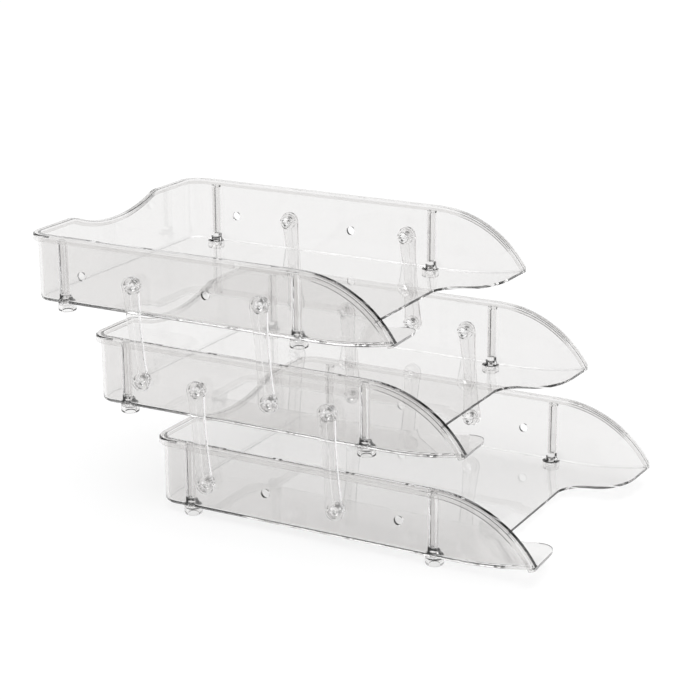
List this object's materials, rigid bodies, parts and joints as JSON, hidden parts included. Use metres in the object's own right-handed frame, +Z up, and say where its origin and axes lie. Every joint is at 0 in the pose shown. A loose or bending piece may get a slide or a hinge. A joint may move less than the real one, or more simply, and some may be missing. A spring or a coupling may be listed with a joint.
{
  "type": "letter tray",
  "caption": "Clear plastic letter trays in a stepped cascade, joined at the sides by swinging link arms so the set can be stepped or stacked.",
  "frame": {"origin": "on the ground under the middle of the whole set's bounding box", "axes": "+Z up; +Y to the back of the trays, the way the cascade climbs; +X to the right as seen from the open front"},
  "size_m": [0.268, 0.4748, 0.2285],
  "materials": {
    "clear_tray": "clear injection-moulded polystyrene, polished",
    "clear_arm": "clear injection-moulded polystyrene, polished",
    "clear_foot": "clear injection-moulded polystyrene, polished"
  },
  "bodies": {
    "bottom_tray": {"tray_bottom": "clear_tray", "bottom_left_rear_foot": "clear_foot", "bottom_left_front_foot": "clear_foot", "bottom_right_rear_foot": "clear_foot", "bottom_right_front_foot": "clear_foot"},
    "middle_tray": {"tray_middle": "clear_tray", "middle_left_rear_foot": "clear_foot", "middle_left_front_foot": "clear_foot", "middle_right_rear_foot": "clear_foot", "middle_right_front_foot": "clear_foot"},
    "top_tray": {"tray_top": "clear_tray", "top_left_rear_foot": "clear_foot", "top_left_front_foot": "clear_foot", "top_right_rear_foot": "clear_foot", "top_right_front_foot": "clear_foot"},
    "lower_left_rear_arm_link": {"lower_left_rear_arm": "clear_arm"},
    "lower_right_rear_arm_link": {"lower_right_rear_arm": "clear_arm"},
    "lower_left_front_arm_link": {"lower_left_front_arm": "clear_arm"},
    "lower_right_front_arm_link": {"lower_right_front_arm": "clear_arm"},
    "upper_left_rear_arm_link": {"upper_left_rear_arm": "clear_arm"},
    "upper_right_rear_arm_link": {"upper_right_rear_arm": "clear_arm"},
    "upper_left_front_arm_link": {"upper_left_front_arm": "clear_arm"},
    "upper_right_front_arm_link": {"upper_right_front_arm": "clear_arm"}
  },
  "joints": [
    {"name": "lower_fold", "type": "hinge", "parent": "bottom_tray", "child": "lower_left_rear_arm_link", "pos_m": [-0.125, 0.05995, 0.0334], "axis": [1, 0, 0], "range_deg": [-31.2, 40.5]},
    {"name": "lower_tray_swing", "type": "hinge", "parent": "lower_left_rear_arm_link", "child": "middle_tray", "pos_m": [-0.125, 0.06655, 0.11476], "axis": [1, 0, 0], "range_deg": [-40.5, 31.2]},
    {"name": "lower_right_rear_swing", "type": "hinge", "parent": "bottom_tray", "child": "lower_right_rear_arm_link", "pos_m": [0.125, 0.05995, 0.0334], "axis": [1, 0, 0], "range_deg": [-31.2, 40.5]},
    {"name": "lower_left_front_swing", "type": "hinge", "parent": "bottom_tray", "child": "lower_left_front_arm_link", "pos_m": [-0.125, -0.06345, 0.0334], "axis": [1, 0, 0], "range_deg": [-31.2, 40.5]},
    {"name": "lower_right_front_swing", "type": "hinge", "parent": "bottom_tray", "child": "lower_right_front_arm_link", "pos_m": [0.125, -0.06345, 0.0334], "axis": [1, 0, 0], "range_deg": [-31.2, 40.5]},
    {"name": "upper_fold", "type": "hinge", "parent": "middle_tray", "child": "upper_left_rear_arm_link", "pos_m": [-0.125, 0.12115, 0.11476], "axis": [1, 0, 0], "range_deg": [-31.2, 40.5]},
    {"name": "upper_tray_swing", "type": "hinge", "parent": "upper_left_rear_arm_link", "child": "top_tray", "pos_m": [-0.125, 0.12775, 0.19612], "axis": [1, 0, 0], "range_deg": [-40.5, 31.2]},
    {"name": "upper_right_rear_swing", "type": "hinge", "parent": "middle_tray", "child": "upper_right_rear_arm_link", "pos_m": [0.125, 0.12115, 0.11476], "axis": [1, 0, 0], "range_deg": [-31.2, 40.5]},
    {"name": "upper_left_front_swing", "type": "hinge", "parent": "middle_tray", "child": "upper_left_front_arm_link", "pos_m": [-0.125, -0.00225, 0.11476], "axis": [1, 0, 0], "range_deg": [-31.2, 40.5]},
    {"name": "upper_right_front_swing", "type": "hinge", "parent": "middle_tray", "child": "upper_right_front_arm_link", "pos_m": [0.125, -0.00225, 0.11476], "axis": [1, 0, 0], "range_deg": [-31.2, 40.5]}
  ],
  "couplings": [
    {"joint": "lower_tray_swing", "follows": "lower_fold", "ratio": -1},
    {"joint": "lower_right_rear_swing", "follows": "lower_fold", "ratio": 1},
    {"joint": "lower_left_front_swing", "follows": "lower_fold", "ratio": 1},
    {"joint": "lower_right_front_swing", "follows": "lower_fold", "ratio": 1},
    {"joint": "upper_tray_swing", "follows": "upper_fold", "ratio": -1},
    {"joint": "upper_right_rear_swing", "follows": "upper_fold", "ratio": 1},
    {"joint": "upper_left_front_swing", "follows": "upper_fold", "ratio": 1},
    {"joint": "upper_right_front_swing", "follows": "upper_fold", "ratio": 1}
  ]
}
